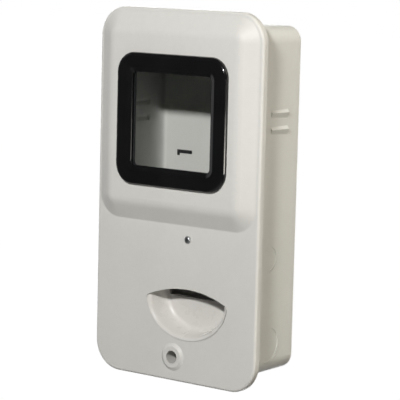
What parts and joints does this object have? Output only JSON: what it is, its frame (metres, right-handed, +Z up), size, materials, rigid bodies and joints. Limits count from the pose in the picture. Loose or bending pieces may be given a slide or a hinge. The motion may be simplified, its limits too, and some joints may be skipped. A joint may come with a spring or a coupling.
{
  "type": "plastic din rail enclosure",
  "caption": "Wall enclosure with a clear viewing window, a finger recess to a breaker space, a top-hinged cover and a mounting rail.",
  "frame": {"origin": "centre of the box's back face, in the plane of the wall, at the centre of the four wall holes", "axes": "+Z up, -Y out of the wall towards the person in front, +X to the right seen from the front"},
  "size_m": [0.2, 0.0938, 0.3628],
  "materials": {
    "box_plastic": "fine satin, warm light grey",
    "cover_plastic": "fine satin, pale grey",
    "scoop_plastic": "fine satin, pale grey",
    "frame_black": "gloss black",
    "pane_clear": "clear polished plastic",
    "retainer_plastic": "satin black",
    "seal_rubber": "matt closed-cell rubber",
    "zinc_steel": "bright zinc plate",
    "insert_brass": "turned"
  },
  "bodies": {
    "box": {"back_box": "box_plastic", "screw_insert": "insert_brass", "din_rail": "zinc_steel", "rail_screws": "zinc_steel", "slot_plug": "seal_rubber"},
    "cover": {"front_cover": "cover_plastic", "window_frame": "frame_black", "window_seal": "seal_rubber", "window_pane": "pane_clear", "pane_retainer": "retainer_plastic", "retainer_screws": "zinc_steel", "cover_seal": "seal_rubber", "breaker_scoop": "scoop_plastic", "scoop_screw": "zinc_steel", "screw_collar": "cover_plastic"},
    "clip": {"screw_clip": "zinc_steel"},
    "screw": {"cover_screw": "zinc_steel"}
  },
  "joints": [
    {"name": "cover_hinge", "type": "hinge", "parent": "box", "child": "cover", "pos_m": [0, -0.07455, 0.1725], "axis": [-1, 0, 0], "range_deg": [0, 90]},
    {"name": "screw_slide", "type": "slide", "parent": "cover", "child": "clip", "axis": [0, -1, 0], "range_m": [0, 0.00448]},
    {"name": "screw_turn", "type": "hinge", "parent": "clip", "child": "screw", "pos_m": [0, -0.06, -0.1575], "axis": [0, -1, 0], "range_deg": [0, 2020]}
  ],
  "couplings": [
    {"joint": "screw_turn", "follows": "screw_slide", "rad_per_m": 7854}
  ]
}
